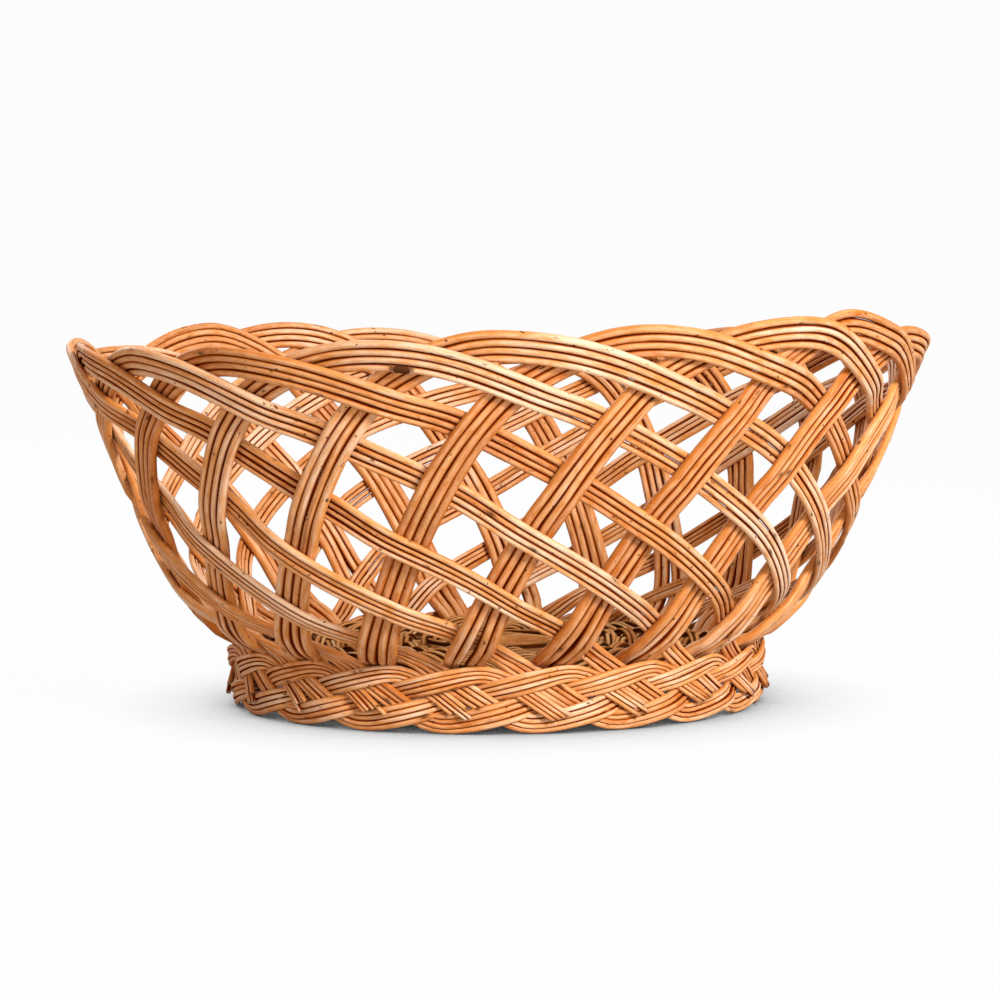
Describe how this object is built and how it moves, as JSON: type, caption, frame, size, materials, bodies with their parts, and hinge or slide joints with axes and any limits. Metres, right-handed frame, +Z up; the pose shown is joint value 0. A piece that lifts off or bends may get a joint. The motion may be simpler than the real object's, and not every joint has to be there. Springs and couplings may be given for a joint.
{
  "type": "wicker basket",
  "caption": "Low round willow basket with an open lattice side, a scalloped rim and a plaited foot, for bread or fruit on a table.",
  "frame": {"origin": "Centre of the overall box in plan, on the floor plane under the foot.", "axes": "+Z up, front (the side towards the camera of the picture) towards -Y, +X to the right seen from the front."},
  "size_m": [0.3232, 0.3232, 0.1411],
  "materials": {
    "side_willow": "peeled willow, clear varnish, satin gloss",
    "base_willow": "peeled willow, duller and browner than the side"
  },
  "bodies": {
    "root": {"side_strand_01": "side_willow", "side_strand_02": "side_willow", "side_strand_03": "side_willow", "side_strand_04": "side_willow", "side_strand_05": "side_willow", "side_strand_06": "side_willow", "side_strand_07": "side_willow", "side_strand_08": "side_willow", "side_strand_09": "side_willow", "side_strand_10": "side_willow", "side_strand_11": "side_willow", "side_strand_12": "side_willow", "side_strand_13": "side_willow", "side_strand_14": "side_willow", "side_strand_15": "side_willow", "side_strand_16": "side_willow", "side_strand_17": "side_willow", "side_strand_18": "side_willow", "side_strand_19": "side_willow", "side_strand_20": "side_willow", "base_stick_through_1": "base_willow", "base_stick_through_2": "base_willow", "base_stick_through_3": "base_willow", "base_stick_through_4": "base_willow", "base_stick_through_5": "base_willow", "base_stick_split_1": "base_willow", "base_stick_split_2": "base_willow", "base_stick_split_3": "base_willow", "base_stick_split_4": "base_willow", "base_stick_split_5": "base_willow", "base_binding": "base_willow", "base_weaver_a": "base_willow", "base_weaver_b": "base_willow"}
  },
  "joints": []
}
